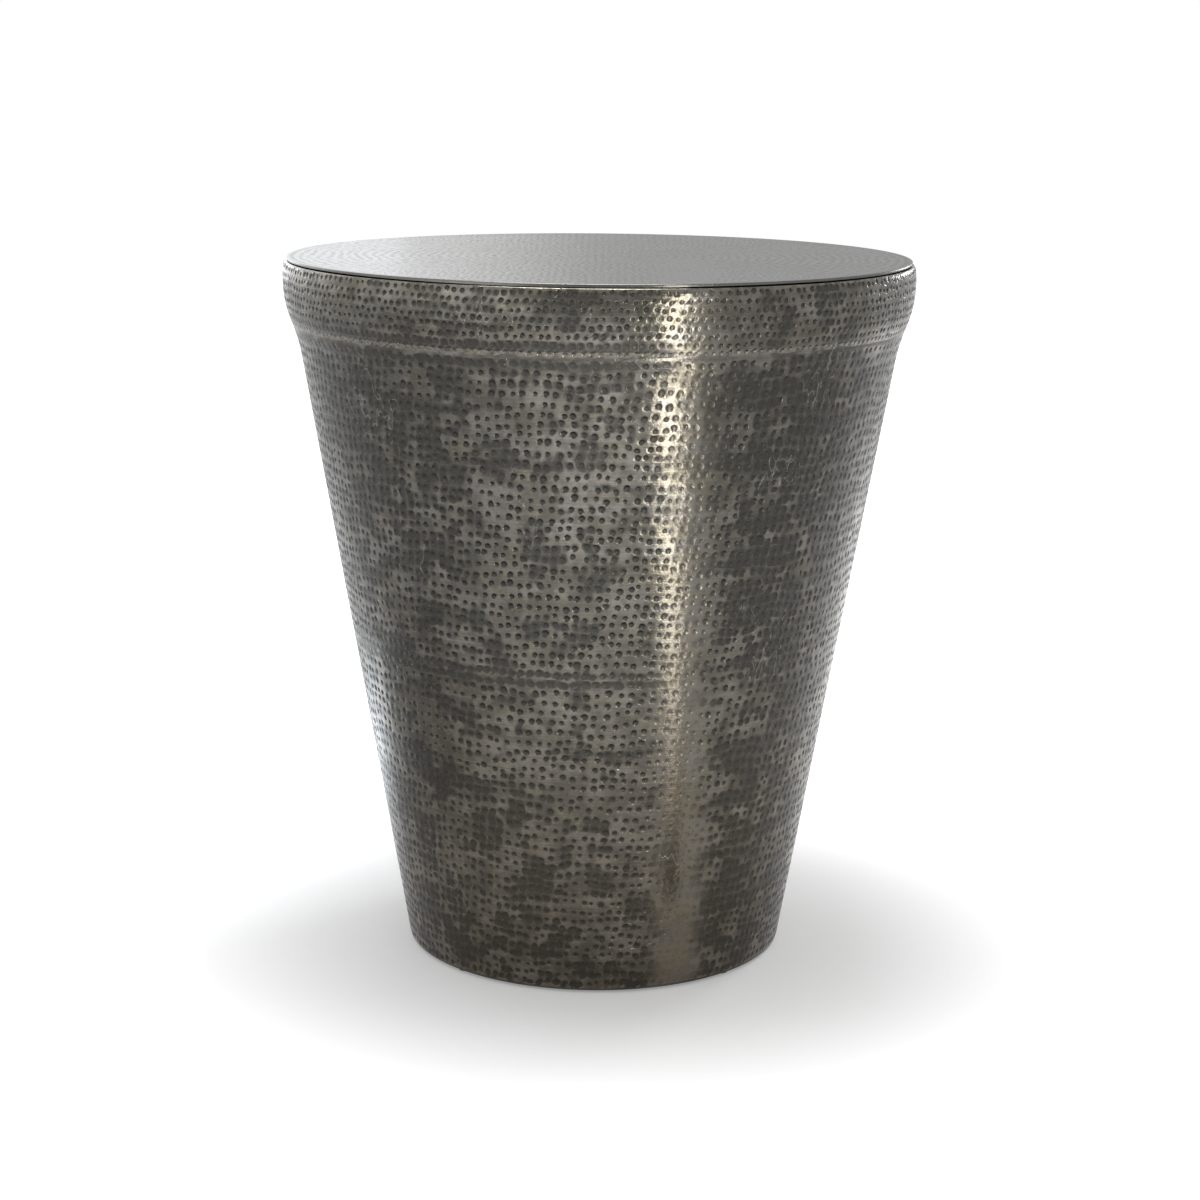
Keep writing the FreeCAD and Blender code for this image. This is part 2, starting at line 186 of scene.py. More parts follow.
def struck_mark():
    """One hammer mark in its cell: a shallow bowl, and the flat land round it."""
    spokes = [math.radians(45 * number) for number in range(8)]

    def to_edge(value):
        """Half a cell at most, either way."""
        return max(-0.5, min(0.5, round(value, 3)))

    rim = [(math.cos(a), math.sin(a)) for a in spokes]
    edge = [(to_edge(math.cos(a)), to_edge(math.sin(a))) for a in spokes]
    points = [(0, 0)] + rim + edge
    faces = []
    for number in range(8):
        after = (number + 1) % 8
        faces.append((0, 1 + number, 1 + after))
        faces.append((1 + number, 9 + number, 9 + after, 1 + after))
    mesh = bpy.data.meshes.new("struck_mark")
    mesh.from_pydata([(x, y, 0) for x, y in points], [], faces)
    for name, kind in (("corner", "FLOAT_VECTOR"), ("spoke", "FLOAT_VECTOR"), ("reach", "FLOAT"),
                       ("inside", "FLOAT")):
        mesh.attributes.new(name, kind, "POINT")
    for number, (x, y) in enumerate(points):
        bowl = number < 9
        mesh.attributes["inside"].data[number].value = 1 if bowl else 0
        mesh.attributes["reach"].data[number].value = math.hypot(x, y) if bowl else 1
        mesh.attributes["spoke"].data[number].vector = (x, y, 0) if bowl else (0, 0, 0)
        mesh.attributes["corner"].data[number].vector = (0, 0, 0) if bowl else (x, y, 0)
    return bpy.data.objects.new("struck_mark", mesh)


def new_tree(name, inputs):
    """An empty Geometry Nodes tree with named inputs."""
    tree = bpy.data.node_groups.new(name, "GeometryNodeTree")
    tree.interface.new_socket("Geometry", in_out="INPUT", socket_type="NodeSocketGeometry")
    tree.interface.new_socket("Geometry", in_out="OUTPUT", socket_type="NodeSocketGeometry")
    for label, kind in inputs:
        tree.interface.new_socket(label, in_out="INPUT", socket_type="NodeSocket" + kind)
    start = tree.nodes.new("NodeGroupInput")
    return tree, {socket.name: Value(tree, socket) for socket in start.outputs if socket.name}


def struck_cells(v, given, columns, rows):
    """Set one mark in each cell of a grid and read what places its points."""
    index = v.node("GeometryNodeInputIndex")
    row = ((index + 0.5) / columns).math("FLOOR", (index + 0.5) / columns)
    cells = v.node("GeometryNodePoints", sockets={"Count": columns * rows})
    for name, number in (("column", index - row * columns), ("row", row)):
        cells = v.node("GeometryNodeStoreNamedAttribute", {"data_type": "FLOAT", "domain": "POINT"},
                       {"Geometry": cells, "Name": name, "Value": number})
    mark = v.node("GeometryNodeObjectInfo", sockets={"Object": given["Mark"]}, output="Geometry")
    marks = v.node("GeometryNodeInstanceOnPoints", sockets={"Points": cells, "Instance": mark})
    read = {}
    for name, kind in (("column", "FLOAT"), ("row", "FLOAT"), ("inside", "FLOAT"), ("reach", "FLOAT"),
                       ("corner", "FLOAT_VECTOR"), ("spoke", "FLOAT_VECTOR")):
        read[name] = v.node("GeometryNodeInputNamedAttribute", {"data_type": kind}, {"Name": name},
                            "Attribute")
    cell = read["row"] * columns + read["column"]
    read["stray"] = v.node("FunctionNodeRandomValue", {"data_type": "FLOAT_VECTOR"},
                           {"Min": (-1, -1, -1), "Max": (1, 1, 1), "ID": cell, "Seed": given["Seed"]})
    read["force"] = v.node("FunctionNodeRandomValue", {"data_type": "FLOAT"},
                           {"Min_001": 0.0, "Max_001": 1.0, "ID": cell, "Seed": given["Seed"] + 1},
                           "Value_001")
    sheet_marks = v.node("GeometryNodeRealizeInstances", sockets={"Geometry": marks})
    return sheet_marks, read


weld_distance = 1e-5


def finish_tree(v, given, struck, position, mark, plain, rub):
    """Move the marks' points to their places, close the cells up and give the sheet its metal."""
    struck = v.node("GeometryNodeStoreNamedAttribute", {"data_type": "FLOAT_VECTOR", "domain": "CORNER"},
                    {"Geometry": struck, "Name": "mark", "Value": mark})
    for name, value in (("plain", plain), ("rub", rub)):
        struck = v.node("GeometryNodeStoreNamedAttribute", {"data_type": "FLOAT", "domain": "POINT"},
                        {"Geometry": struck, "Name": name, "Value": value})
    struck = v.node("GeometryNodeSetPosition", sockets={"Geometry": struck, "Position": position})
    struck = v.node("GeometryNodeMergeByDistance", sockets={"Geometry": struck, "Distance": weld_distance})
    struck = v.node("GeometryNodeSetShadeSmooth", sockets={"Geometry": struck})
    struck = v.node("GeometryNodeRealizeInstances", sockets={"Geometry": struck})
    struck = v.node("GeometryNodeSetMaterial", sockets={"Geometry": struck, "Material": given["Metal"]})
    end = v.tree.nodes.new("NodeGroupOutput")
    v.tree.links.new(struck.socket, end.inputs[0])


def struck_wall_tree():
    """Courses of hammer marks round a wall that is turned from one upright line."""
    full_turn = 2 * math.pi
    most_slip = 0.4
    spiral = 5.0
    end_fade = 0.02
    brim = 0.0002
    tree, given = new_tree("struck_wall", [
        ("Mark", "Object"), ("Line", "Object"), ("Columns", "Int"), ("Rows", "Int"),
        ("Mark Radius", "Float"), ("Size Stray", "Float"), ("Mark Depth", "Float"), ("Stray", "Float"),
        ("Sway", "Float"), ("Wave", "Float"), ("Plain Top", "Float"), ("Plain Foot", "Float"),
        ("Rub Top", "Float"), ("Rub Foot", "Float"), ("Seed", "Int"), ("Metal", "Material")])
    v = Value(tree)
    columns, rows = given["Columns"], given["Rows"]
    struck, read = struck_cells(v, given, columns, rows)
    corner_x, corner_y, _ = read["corner"].parts()
    spoke_x, spoke_y, _ = read["spoke"].parts()
    stray_x, stray_y, stray_size = read["stray"].parts()
    row, inside, force = read["row"], read["inside"], read["force"]

    def shift(course):
        """How far round the drum a line between two courses is turned, in cells."""
        odd = course.math("FLOORED_MODULO", course, 2.0)
        chance = v.node("FunctionNodeRandomValue", {"data_type": "FLOAT"},
                        {"Min_001": 0.0, "Max_001": most_slip, "ID": course, "Seed": given["Seed"] + 7},
                        "Value_001")
        between = course.math("GREATER_THAN", course, 0.5) * course.math("LESS_THAN", course, rows - 0.5)
        return (odd * 0.5 + chance) * between + course * spiral / rows

    below, above = shift(row), shift(row + 1)
    turn = below + (above - below) * (corner_y + 0.5)
    line = v.node("GeometryNodeObjectInfo", sockets={"Object": given["Line"]}, output="Geometry")
    length = v.node("GeometryNodeCurveLength", sockets={"Curve": line})
    pitch_up = length / rows
    cell_angle = (read["column"] + 0.5 + corner_x + turn) * full_turn / columns
    cell_along = pitch_up * (row + 0.5 + corner_y)
    ends = (cell_along / end_fade).least((length - cell_along) / end_fade).least(1.0)
    ground = v.join(cell_angle.cosine(), cell_angle.sine(), cell_along * 5)
    cell_along = cell_along + (ground.noise(4.0, 1.0) - 0.5) * given["Sway"] * ends
    plain = ((length - cell_along) / given["Plain Top"]).least(cell_along / given["Plain Foot"])
    plain = 1 - plain.step(0.6, 1.3)
    size = (given["Mark Radius"] * (1 + stray_size * given["Size Stray"])).least(pitch_up * 0.46)
    stray = given["Stray"] * inside
    middle, _, _ = v.node("GeometryNodeSampleCurve", {"mode": "LENGTH", "use_all_curves": True},
                          {"Curves": line, "Length": cell_along}, "Position").parts()
    lean = (above - below) * middle * full_turn / columns / pitch_up
    aslant = given["Stray"] * (stray_x - lean * stray_y)
    room_round = (middle * math.pi / columns - aslant.size()) * 0.95 / (1 + lean.size() * 0.7)
    room_up = pitch_up * 0.38 - given["Stray"] * stray_y.size()
    bowl_size = size.least(room_round).least(room_up).most(size * 0.4)
    along = cell_along + stray * stray_y + inside * spoke_y * bowl_size
    place = v.node("GeometryNodeSampleCurve", {"mode": "LENGTH", "use_all_curves": True},
                   {"Curves": line, "Length": along}, "Position")
    radius, _, height = place.parts()
    slope_out, _, slope_up = place.out("Tangent").parts()
    angle = cell_angle + (stray * stray_x + inside * spoke_x * bowl_size) / radius
    around_x, around_y = angle.cosine(), angle.sine()
    spot = v.join(radius * around_x, radius * around_y, height)
    east, _, _ = spot.parts()
    plain = plain * (spot.noise(8.0, 1.0) - east * 0.7).step(0.38, 0.5)
    together = run_together(spot).most(plain)
    dish = inside * (1 - read["reach"] * read["reach"])
    bowl = given["Mark Depth"] * (0.5 + force * 0.8) * (1 - together * 0.6) * (1 - plain * 0.7) * dish
    bowl = bowl * (1 - rubbed_band_and_highlight(spot) * 0.6)
    swell = spot.noise(22.0, 1.0)
    lift = given["Wave"] * (swell - 0.5) * ends - bowl
    out = radius + slope_up * lift
    position = v.join(out * around_x, out * around_y, height - slope_out * lift)
    pitch_round = radius * full_turn / columns
    aside = ((corner_x + turn - (below + above) * 0.5) * pitch_round - given["Stray"] * stray_x) / size
    upward = (corner_y * pitch_up - given["Stray"] * stray_y) / size
    fit = inside * bowl_size / size
    land = 1 - inside
    mark = v.join(spoke_x * fit + aside * land, spoke_y * fit + upward * land, force)
    rub = ((length - along + brim) / given["Rub Top"]).least((along + brim) / given["Rub Foot"])
    rub = 1 - rub.step(0.4, 1.0)
    finish_tree(v, given, struck, position, mark, plain, rub)
    return tree


def poly_line(name, points):
    """A curve object through points at (radius, height)."""
    curve = bpy.data.curves.new(name, "CURVE")
    curve.dimensions = "3D"
    spline = curve.splines.new("POLY")
    spline.points.add(len(points) - 1)
    for knot, (radius, height) in zip(spline.points, points):
        knot.co = (radius, 0, height, 1)
    return bpy.data.objects.new(name, curve)


def node_mesh(name, tree, inputs):
    """Run a tree on an empty object and keep its result as a plain mesh."""
    piece = bpy.data.objects.new(name, bpy.data.meshes.new(name))
    bpy.context.scene.collection.objects.link(piece)
    modifier = piece.modifiers.new("struck", "NODES")
    modifier.node_group = tree
    for item in tree.interface.items_tree:
        if item.in_out == "INPUT" and item.name in inputs:
            modifier[item.identifier] = inputs[item.name]
    depsgraph = bpy.context.evaluated_depsgraph_get()
    made = bpy.data.meshes.new_from_object(piece.evaluated_get(depsgraph), preserve_all_data_layers=True,
                                           depsgraph=depsgraph)
    piece.modifiers.remove(modifier)
    piece.data = made
    made.name = name
    made.materials.clear()
    made.materials.append(inputs["Metal"])
    made.polygons.foreach_set("material_index", [0] * len(made.polygons))
    if "Line" in inputs:
        bpy.data.objects.remove(inputs["Line"])
    return piece


sharp_angle = 0.6


def close_sheet(piece, path, segments, bare, metal_rows=0):
    """Close the hidden side of a struck sheet: turn a path from its upper edge round to its lower edge.

    A third number at a point of the path is how far its loop may dip, unevenly, round the drum.
    """
    clear_of_marks = (2, 2, 0.5)
    piece.data.materials.append(bare)
    work = bmesh.new()
    work.from_mesh(piece.data)
    mark = work.loops.layers.float_vector["mark"]
    loops = []
    for radius, height, *uneven in path:
        loop = []
        for number in range(segments):
            angle = 2 * math.pi * number / segments
            dip = 0.5 + 0.3 * math.sin(2 * angle - 1.22) + 0.2 * math.sin(5 * angle + 4)
            level = height - sum(uneven) * dip
            loop.append(work.verts.new((radius * math.cos(angle), radius * math.sin(angle), level)))
        loops.append(loop)
    for course, (upper, lower) in enumerate(zip(loops, loops[1:])):
        for number in range(segments):
            after = (number + 1) % segments
            face = work.faces.new((upper[number], upper[after], lower[after], lower[number]))
            face.smooth = True
            face.material_index = 0 if course < metal_rows else 1
            for corner in face.loops:
                corner[mark] = clear_of_marks
    bmesh.ops.remove_doubles(work, verts=work.verts, dist=weld_distance)
    bmesh.ops.recalc_face_normals(work, faces=work.faces)
    if work.calc_volume(signed=True) < 0:
        bmesh.ops.reverse_faces(work, faces=work.faces)
    for edge in work.edges:
        edge.smooth = edge.calc_face_angle(0) < sharp_angle
    work.to_mesh(piece.data)
    work.free()


def arc(centre, radius, start, end, steps):
    """Points on an arc, from one angle to another in degrees."""
    turn = [math.radians(start + (end - start) * number / steps) for number in range(steps + 1)]
    return [(centre[0] + radius * math.cos(a), centre[1] + radius * math.sin(a)) for a in turn]


def inward(point, lean=wall_lean):
    """The point one sheet thickness in from a point on the leaning wall."""
    return (point[0] - sheet * math.cos(lean), point[1] + sheet * math.sin(lean))


def new_finish(name):
    """A material with its tree, its shader and the place on the piece."""
    finish = bpy.data.materials.new(name)
    finish.use_nodes = True
    v = Value(finish.node_tree)
    shader = finish.node_tree.nodes["Principled BSDF"]
    return finish, v, shader, v.node("ShaderNodeTexCoord", output="Object")


def aged_pewter(name, land, warm, merged, core, dark, depth, rasp, spread):
    """Struck metal: the marks dark with patina, the land between them rubbed bright.

    The colours run from the land between the marks to dark: painted shade on a mark's upper side, and fine
    specks. Depth is the relief's, rasp is how rough the land is, and spread is how far marks may
    run together.
    """
    metal, v, shader, spot = new_finish(name)
    mark = v.node("ShaderNodeAttribute", {"attribute_name": "mark"}, output="Vector")
    across, upward, force = mark.parts()
    plain = v.node("ShaderNodeAttribute", {"attribute_name": "plain"}, output="Fac")
    rub = v.node("ShaderNodeAttribute", {"attribute_name": "rub"}, output="Fac")
    square = across * across + upward * upward
    reach = square.math("SQRT", square)
    fine = spot.noise(520.0, 3.0)
    grain = spot.noise(230.0, 4.0)
    mottle = spot.noise(85.0, 3.0, (1, 1, 0.8))
    cloud = spot.noise(26.0, 4.0, (1, 1, 2.1))
    streak = spot.noise(10.0, 3.0, (1, 1, 90))
    ragged = reach + (grain - 0.5) * 0.35
    _, _, height = spot.parts()
    # Partly painted highlight: under the bright line the dark of the marks and patches is lightened.
    rub_and_highlight = rubbed_band_and_highlight(spot)
    inside = (1 - ragged.step(0.65, 1.0)) * (1 - rub_and_highlight) * (1 - plain * 0.85)
    worn = 0.45 + height.step(0.05, 0.32) * 0.55
    # Painted shade: the upper side of each mark is darkened as if in its own shadow.
    upper_side_shade = inside * (reach + upward * 0.8 + (grain - 0.5) * 0.4).step(0.2, 1.3)
    rubbed = (rub + (mottle - 0.5) * 0.6 + (cloud - 0.5) * 0.8).step(0.3, 0.8)
    together = run_together(spot).most(plain) * (1 - rubbed) * spread
    grown = 0.8 + together * 1.3
    blurred = reach + (mottle - 0.5) * 0.9 + (grain - 0.5) * 0.3
    plate = (1 - blurred.step(grown - 0.65, grown + 0.5)) * (1 - rub_and_highlight)
    tone = (cloud + (grain - 0.5) * 0.3).step(0.4, 0.62).blend(land, warm)
    haze = (mottle * 0.5 + cloud * 0.3 + streak * 0.2 + (grain - 0.5) * 0.1).step(0.37, 0.6)
    tone = (haze * 0.65 * (1 - rubbed) * (1 - rub_and_highlight)).blend(tone, merged)
    scratch = spot.noise(14.0, 3.0, (1, 1, 150))
    tone = (scratch.step(0.48, 0.66) * 0.3).blend(tone, merged)
    tone = (together.step(0.2, 1.0) * 0.6 * (1 - rub_and_highlight)).blend(tone, merged)
    tone = (plate * (1 - rubbed * 0.7)).blend(tone, merged)
    pit = inside * (0.95 - together * 0.5) * (0.75 + force * 0.25) * (1 - rubbed * 0.7)
    tone = (pit * worn).blend(tone, core)
    # The painted shade on each mark's upper side, fainter where marks run together and near the foot.
    tone = (upper_side_shade * (1 - together * 0.5) * worn).blend(tone, dark)
    tone = (fine.step(0.53, 0.72) * 0.28).blend(tone, dark)
    ridge = 1 - (spot.noise(70.0, 2.0, (1, 1, 0.5)) - 0.5).size().step(0.0, 0.014)
    ridge = ridge * spot.noise(16.0, 2.0).step(0.56, 0.64) * (1 - inside)
    tone = (ridge * 0.7).blend(tone, land)
    tone = v.node("ShaderNodeMix", {"data_type": "RGBA", "blend_type": "MULTIPLY"}, {
        "Factor_Float": 1 - (height + (cloud - 0.5) * 0.3).step(0.05, 0.35), "A_Color": tone,
        "B_Color": (1, 0.94, 0.87, 1)}, "Result_Color")
    rough = (plate * 0.1 + inside * 0.18) * spread + 0.26 - 0.1 * spread + (fine - 0.5) * 0.08
    crumpled = (grain - 0.5) * (0.3 + rasp * 0.3) + (mottle - 0.5) * (rasp * 0.5)
    bowl = ((square + crumpled).least(1.0) - 1) * (0.4 + force * 0.8)
    relief = bowl * worn * (1 - together * 0.5) * (1 - rub_and_highlight * 0.8) * 0.8 - plate * 0.15
    relief = relief + mottle * 0.15 + fine * 0.1 + streak * 0.12 + ridge * 0.25
    relief = relief + (grain * 0.5 + mottle * 0.5) * rasp
    bump = v.node("ShaderNodeBump", sockets={"Height": relief, "Strength": 1.0, "Distance": depth},
                  output="Normal")
    v.feed(shader, {"Base Color": tone, "Roughness": rough, "Metallic": 1, "Normal": bump})
    return metal


mark_shape = struck_mark()
wall_tree = struck_wall_tree()
pewter = aged_pewter(
    "aged_pewter", land=(0.222, 0.211, 0.189, 1), warm=(0.222, 0.203, 0.164, 1),
    merged=(0.072, 0.069, 0.062, 1), core=(0.058, 0.056, 0.052, 1), dark=(0.015, 0.0145, 0.014, 1),
    depth=0.0008, rasp=0.0, spread=1.0)
bare_steel, v, shader, spot = new_finish("bare_steel")
rolled = spot.noise(14.0, 4.0, (1, 1, 12))
stain = spot.noise(30.0, 4.0)
v.feed(shader, {
    "Base Color": stain.step(0.4, 0.65).blend((0.13, 0.12, 0.11, 1), (0.09, 0.078, 0.068, 1)),
    "Roughness": 0.42 + (rolled - 0.5) * 0.3, "Metallic": 1,
    "Normal": v.node("ShaderNodeBump", sockets={"Height": rolled, "Strength": 0.3, "Distance": 0.0003},
                     output="Normal")})


def wall_radius(height):
    """The drum's outside radius on its straight wall."""
    return foot_radius + (height - hem_height) * math.tan(wall_lean)


joint = (wall_radius(joint_height), joint_height)
hem_centre = (foot_radius + hem_corner * math.tan(wall_lean) - hem_corner / math.cos(wall_lean),
              hem_height + hem_corner)
foot_bend = arc(hem_centre, hem_corner, -90, -math.degrees(wall_lean), 5)
lower_columns = 150
too_narrow_to_show = 0.0001
cone_marks = {"Mark": mark_shape, "Mark Radius": 0.0024, "Size Stray": 0.28, "Mark Depth": 0.00032,
              "Stray": 0.0015, "Sway": 0.014, "Wave": 0.0003, "Metal": pewter}
lower_cone = node_mesh("lower_cone_struck", wall_tree, {
    **cone_marks, "Line": poly_line("lower_line", [foot_bend[-1], joint]),
    "Columns": lower_columns, "Rows": 33, "Plain Top": 0.007, "Plain Foot": too_narrow_to_show,
    "Rub Top": too_narrow_to_show, "Rub Foot": 0.0015, "Seed": 3})
lower_path = [joint, inward(joint)]
lean_degrees = math.degrees(wall_lean)
lower_path += arc(hem_centre, hem_corner - sheet, -lean_degrees, -lean_degrees - 80, 5)
lower_path += [(hem_inner_radius, hem_height + sheet), (hem_inner_radius, hem_height)] + foot_bend
close_sheet(lower_cone, lower_path, 2 * lower_columns, bare_steel)
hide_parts("lower_cone")
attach(lower_cone, "root")

# Base ring
# A flat steel ring, zinc plated, that lies loose on the hem inside the drum.
# It stiffens and weights the foot.
zinc, v, shader, spot = new_finish("zinc_plate")
flakes = v.node("ShaderNodeTexVoronoi", sockets={"Vector": spot, "Scale": 160.0}, output="Color")
flake, _, _ = flakes.parts()
cloudy = spot.noise(40.0, 4.0)
scuffs = spot.noise(300.0, 3.0, (1, 1, 0.2))
spangle = flake * 0.5 + cloudy.step(0.35, 0.7) * 0.5
v.feed(shader, {
    "Base Color": spangle.blend((0.42, 0.43, 0.44, 1), (0.6, 0.6, 0.58, 1)),
    "Roughness": 0.3 + flake * 0.12 + (scuffs - 0.5) * 0.25, "Metallic": 1,
    "Normal": v.node("ShaderNodeBump", sockets={"Height": scuffs + flake * 0.2, "Strength": 0.25,
                                                "Distance": 0.0002}, output="Normal")})
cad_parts["base_ring"].material_slots[0].material = zinc

# Glides
# Four black nylon feet, moulded, with stems that push up through the hem and the base ring.
# They carry the table just clear of the floor.
nylon, v, shader, spot = new_finish("black_nylon")
moulded = spot.noise(900.0, 2.0)
dusty = spot.noise(120.0, 4.0)
v.feed(shader, {
    "Base Color": dusty.step(0.45, 0.75).blend((0.032, 0.032, 0.034, 1), (0.06, 0.058, 0.055, 1)),
    "Roughness": 0.45 + (moulded - 0.5) * 0.3 + dusty * 0.1,
    "Normal": v.node("ShaderNodeBump", sockets={"Height": moulded, "Strength": 0.3, "Distance": 0.0001},
                     output="Normal")})
for number in range(1, 5):
    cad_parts[f"glide_{number}"].material_slots[0].material = nylon

# Upper cone
# Rolled steel sheet, struck like the lower cone. Its top turns out as a collar and steps in behind
# the shoulder ring, which laps over it.
turn_radius = 0.14
turn_start = (0.2350, 0.48084)
groove_height = 0.5048
lap_clearance = 0.0001
lap_length = 0.007
edge_height = 0.5068
turn_centre = (turn_start[0] + turn_radius * math.cos(wall_lean),
               turn_start[1] - turn_radius * math.sin(wall_lean))


def turn_angle(height):
    """The angle, in degrees, of a height on the hollow turn under the shoulder."""
    return 180 - math.degrees(math.asin((height - turn_centre[1]) / turn_radius))


collar = arc(turn_centre, turn_radius, turn_angle(turn_start[1]), turn_angle(groove_height), 12)
upper_columns = 180
upper_cone = node_mesh("upper_cone_struck", wall_tree, {
    **cone_marks, "Line": poly_line("upper_line", [joint] + collar),
    "Columns": upper_columns, "Rows": 32, "Plain Top": 0.010, "Plain Foot": 0.005,
    "Rub Top": too_narrow_to_show, "Rub Foot": too_narrow_to_show, "Seed": 11})
edge_angle = math.radians(turn_angle(edge_height))
out_of_turn = (math.cos(edge_angle), math.sin(edge_angle))
up_the_edge = (out_of_turn[1], -out_of_turn[0])
edge = (turn_centre[0] + turn_radius * out_of_turn[0], turn_centre[1] + turn_radius * out_of_turn[1])
step_in = sheet + lap_clearance


def from_edge(depth, rise):
    """A point set in from the ring's lower edge and up along it."""
    return (edge[0] + out_of_turn[0] * depth + up_the_edge[0] * rise,
            edge[1] + out_of_turn[1] * depth + up_the_edge[1] * rise)


upper_path = [collar[-1], from_edge(step_in, 0), from_edge(step_in, lap_length),
              from_edge(step_in + sheet, lap_length), from_edge(step_in + sheet, -0.0004)]
upper_path += arc(turn_centre, turn_radius + sheet, turn_angle(groove_height) - 0.3,
                  turn_angle(turn_start[1]), 8)
upper_path += [inward(joint), joint]
close_sheet(upper_cone, upper_path, 2 * upper_columns, bare_steel, 2)
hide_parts("upper_cone")
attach(upper_cone, "root")

# Shoulder ring
# Spun steel sheet, struck with a smaller hammer: it flares, rounds over and turns in as the rim flange.
# Its lower edge laps over the cone's collar and stands as a fine lip above the groove.
shoulder_radius = 0.085
shoulder_centre = (0.1642, 0.541)
rim_height = 0.5563
rim_corner = 0.003
rim_opening = 0.22427
share = turn_radius / (turn_radius + shoulder_radius)
turn_end = (turn_centre[0] + (shoulder_centre[0] - turn_centre[0]) * share,
            turn_centre[1] + (shoulder_centre[1] - turn_centre[1]) * share)


def shoulder_angle(height):
    return math.degrees(math.asin((height - shoulder_centre[1]) / shoulder_radius))


corner_height = rim_height - rim_corner
corner_reach = shoulder_radius - rim_corner
corner_rise = corner_height - shoulder_centre[1]
corner_run = math.sqrt(corner_reach ** 2 - corner_rise ** 2)
corner_centre = (shoulder_centre[0] + corner_run, corner_height)
corner_angle = math.degrees(math.atan2(corner_rise, corner_run))
struck_top = 50
shoulder_line = arc(turn_centre, turn_radius, turn_angle(edge_height), turn_angle(turn_end[1]), 2)[:-1]
shoulder_line += arc(shoulder_centre, shoulder_radius, shoulder_angle(turn_end[1]), corner_angle, 24)
shoulder_line += arc(corner_centre, rim_corner, corner_angle, struck_top, 4)[1:]
ring_columns = 244
shoulder_ring = node_mesh("shoulder_ring_struck", wall_tree, {
    "Mark": mark_shape, "Line": poly_line("shoulder_line", shoulder_line),
    "Columns": ring_columns, "Rows": 8, "Mark Radius": 0.0020, "Size Stray": 0.28, "Mark Depth": 0.0004,
    "Stray": 0.0011, "Sway": 0.006, "Wave": 0.0003, "Plain Top": too_narrow_to_show, "Plain Foot": 0.012,
    "Rub Top": 0.0025, "Rub Foot": 0.006, "Seed": 23, "Metal": pewter})
ring_path = arc(corner_centre, rim_corner, struck_top, 90, 4)
ring_path += [(rim_opening, rim_height), (rim_opening, rim_height - sheet)]
ring_path += arc(corner_centre, rim_corner - sheet, 90, corner_angle, 4)
ring_path += arc(shoulder_centre, shoulder_radius - sheet, corner_angle,
                 shoulder_angle(turn_end[1]), 14)[1:]
ring_path += [from_edge(sheet, 0), edge]
close_sheet(shoulder_ring, ring_path, 2 * ring_columns, bare_steel, 5)
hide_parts("shoulder_ring")
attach(shoulder_ring, "root")

# Top clips and rivets
# Four offset clips of bent steel strip, each held under the rim flange by one flat-head rivet.
# All are zinc plated like the base ring.
for number in range(1, 5):
    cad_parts[f"top_clip_{number}"].material_slots[0].material = zinc
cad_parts["clip_rivets"].material_slots[0].material = zinc

# Top board
# A round of raw fibreboard that stiffens the thin top plate, pressed from brown wood fibre.
# It lies on the four clips.
fibre, v, shader, spot = new_finish("raw_fibreboard")
fibres = spot.noise(1100.0, 4.0, (1, 0.45, 1))
flecks = spot.noise(900.0, 2.0)
patches = spot.noise(18.0, 4.0)
body = patches.step(0.35, 0.7).blend((0.40, 0.285, 0.175, 1), (0.47, 0.345, 0.22, 1))
body = (fibres.step(0.5, 0.75) * 0.45).blend(body, (0.25, 0.165, 0.095, 1))
v.feed(shader, {
    "Base Color": (flecks.step(0.66, 0.74) * 0.6).blend(body, (0.62, 0.5, 0.35, 1)),
    "Roughness": 0.8 + (fibres - 0.5) * 0.2,
    "Normal": v.node("ShaderNodeBump", sockets={"Height": fibres + flecks * 0.4, "Strength": 0.5,
                                                "Distance": 0.0003}, output="Normal")})
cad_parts["top_board"].material_slots[0].material = fibre

# Clip screws
# Four pan-head wood screws with cross recesses, rolled from steel wire and zinc plated.
# They are driven up through the clips into the board.
screws_low, screws_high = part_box("clip_screws")
head_radius = 0.004
head_height = 0.0024
shank_radius = 0.002
thread_root = 0.0014
thread_pitch = 0.0016
thread_steps = 6
tip_length = 0.003
recess_depth = 0.0014
recess_arm = 0.0021
recess_half = 0.0004
recess_taper = 0.7
screw_turns = 16


